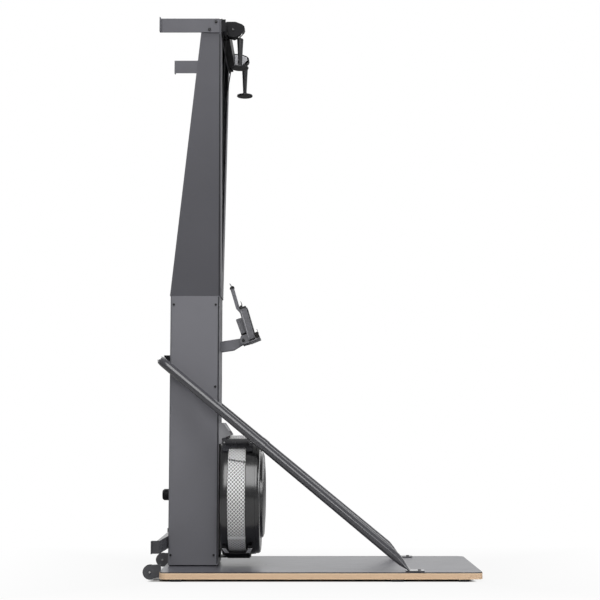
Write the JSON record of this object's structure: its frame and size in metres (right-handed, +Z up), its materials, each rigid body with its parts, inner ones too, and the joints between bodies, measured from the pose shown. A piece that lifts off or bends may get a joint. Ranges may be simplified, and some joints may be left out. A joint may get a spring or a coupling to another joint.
{
  "type": "ski ergometer",
  "caption": "Floor-standing ski ergometer: flared sheet-metal upright on a wooden platform, two cord-pulled handles, caged fan, tilting console, tubular rear brace and wall arms.",
  "frame": {"origin": "centre of the footprint, on the floor under the platform's rubber strips", "axes": "+Z up, +X from the upright towards the user on the platform, +Y to the side that is on the right when looking from the upright's back to the user's place"},
  "size_m": [1.278, 0.62, 2.161],
  "materials": {
    "plywood": "clear-lacquered plywood edge",
    "deck_vinyl": "fine-textured grey sheet",
    "rubber": "matte black rubber",
    "tyre_black": "moulded black",
    "graphite": "fine-textured dark grey powder coat",
    "black_paint": "satin black powder coat",
    "grey_paint": "satin mid grey paint",
    "black_plastic": "satin black moulded plastic",
    "steel": "zinc-plated steel",
    "mesh_steel": "bright expanded metal",
    "cord": "light grey braided cord",
    "bungee": "black woven elastic cord",
    "console_grey": "fine-textured mid grey moulded plastic",
    "screen_glass": "glossy dark display window"
  },
  "bodies": {
    "frame": {"platform_board": "plywood", "deck_sheet": "deck_vinyl", "foot_strip_rear": "rubber", "foot_strip_middle": "rubber", "foot_strip_front": "rubber", "wheel_bracket_left": "grey_paint", "wheel_bracket_right": "grey_paint", "column_shell": "graphite", "column_front_cover": "graphite", "upper_shell": "graphite", "upper_front_panel": "graphite", "wall_arm_left": "graphite", "wall_arm_right": "graphite", "fan_top_clamp": "graphite", "fan_gusset": "graphite", "brace_hoop": "graphite", "brace_leg_left": "graphite", "brace_leg_right": "graphite", "console_arm": "graphite", "base_plate": "black_paint", "head_beam": "black_paint", "lower_wall_bracket": "black_paint", "pulley_cover_left": "black_paint", "pulley_cover_right": "black_paint", "bearing_front": "black_paint", "bearing_rear": "black_paint", "fan_rear_shell": "black_paint", "fan_front_shell": "black_paint", "fan_front_cap": "black_paint", "fan_bottom_clamp": "black_paint", "hoop_clip": "black_paint", "pulley_plate_left": "steel", "pulley_plate_right": "steel", "pulley_axle_left": "steel", "pulley_axle_right": "steel", "guide_bracket": "steel", "fan_mesh": "mesh_steel", "drive_cord_left": "cord", "return_bungee_left": "bungee", "drive_cord_right": "cord", "return_bungee_right": "bungee"},
    "handle_left": {"handle_left": "black_plastic", "handle_cord_left": "cord"},
    "head_pulley_left": {"head_pulley_left": "black_plastic"},
    "guide_pulley_left": {"guide_pulley_left": "black_plastic"},
    "cord_drum_left": {"cord_drum_left": "black_plastic"},
    "transport_wheel_left": {"transport_wheel_left": "tyre_black"},
    "handle_right": {"handle_right": "black_plastic", "handle_cord_right": "cord"},
    "head_pulley_right": {"head_pulley_right": "black_plastic"},
    "guide_pulley_right": {"guide_pulley_right": "black_plastic"},
    "cord_drum_right": {"cord_drum_right": "black_plastic"},
    "transport_wheel_right": {"transport_wheel_right": "tyre_black"},
    "fan": {"fan_axle": "steel", "fan_wheel": "black_plastic"},
    "console": {"console_body": "console_grey", "console_screen": "screen_glass", "console_back_box": "console_grey", "device_ledge": "graphite"},
    "device_post": {"console_post": "grey_paint"}
  },
  "joints": [
    {"name": "handle_left_pull", "type": "slide", "parent": "frame", "child": "handle_left", "axis": [0, 0, -1], "range_m": [0, 1.3], "stiffness_N_per_m": 10, "springref_m": -2, "deforming": ["handle_cord_left"]},
    {"name": "head_pulley_left_spin", "type": "hinge", "parent": "frame", "child": "head_pulley_left", "pos_m": [-0.307, -0.214, 2.129], "axis": [0, 1, 0], "range_deg": [0, 2800]},
    {"name": "guide_pulley_left_spin", "type": "hinge", "parent": "frame", "child": "guide_pulley_left", "pos_m": [-0.39, 0.005, 1.4], "axis": [1, 0, 0], "range_deg": [0, 3000]},
    {"name": "cord_drum_left_spin", "type": "hinge", "parent": "frame", "child": "cord_drum_left", "pos_m": [-0.39, 0, 0.306], "axis": [1, 0, 0], "range_deg": [0, 2500]},
    {"name": "transport_wheel_left_spin", "type": "hinge", "parent": "frame", "child": "transport_wheel_left", "pos_m": [-0.611, -0.224, 0.028], "axis": [0, 1, 0], "continuous": true},
    {"name": "handle_right_pull", "type": "slide", "parent": "frame", "child": "handle_right", "axis": [0, 0, -1], "range_m": [0, 1.3], "stiffness_N_per_m": 10, "springref_m": -2, "deforming": ["handle_cord_right"]},
    {"name": "head_pulley_right_spin", "type": "hinge", "parent": "frame", "child": "head_pulley_right", "pos_m": [-0.307, 0.214, 2.129], "axis": [0, 1, 0], "range_deg": [0, 2800]},
    {"name": "guide_pulley_right_spin", "type": "hinge", "parent": "frame", "child": "guide_pulley_right", "pos_m": [-0.43, 0.055, 1.4], "axis": [1, 0, 0], "range_deg": [-3000, 0]},
    {"name": "cord_drum_right_spin", "type": "hinge", "parent": "frame", "child": "cord_drum_right", "pos_m": [-0.43, 0, 0.306], "axis": [1, 0, 0], "range_deg": [0, 2500]},
    {"name": "transport_wheel_right_spin", "type": "hinge", "parent": "frame", "child": "transport_wheel_right", "pos_m": [-0.611, 0.224, 0.028], "axis": [0, 1, 0], "continuous": true},
    {"name": "fan_spin", "type": "hinge", "parent": "frame", "child": "fan", "pos_m": [-0.4, 0, 0.306], "axis": [1, 0, 0], "continuous": true},
    {"name": "console_tilt", "type": "hinge", "parent": "frame", "child": "console", "pos_m": [-0.269, 0, 0.917], "axis": [0, 1, 0], "range_deg": [-3, 20]},
    {"name": "device_post_slide", "type": "slide", "parent": "console", "child": "device_post", "axis": [-0.2825, 0, 0.9593], "range_m": [0, 0.035]}
  ],
  "couplings": [
    {"joint": "head_pulley_left_spin", "follows": "handle_left_pull", "rad_per_m": 37.037},
    {"joint": "guide_pulley_left_spin", "follows": "handle_left_pull", "rad_per_m": 40},
    {"joint": "cord_drum_left_spin", "follows": "handle_left_pull", "rad_per_m": 33.333},
    {"joint": "head_pulley_right_spin", "follows": "handle_right_pull", "rad_per_m": 37.037},
    {"joint": "guide_pulley_right_spin", "follows": "handle_right_pull", "rad_per_m": -40},
    {"joint": "cord_drum_right_spin", "follows": "handle_right_pull", "rad_per_m": 33.333}
  ]
}
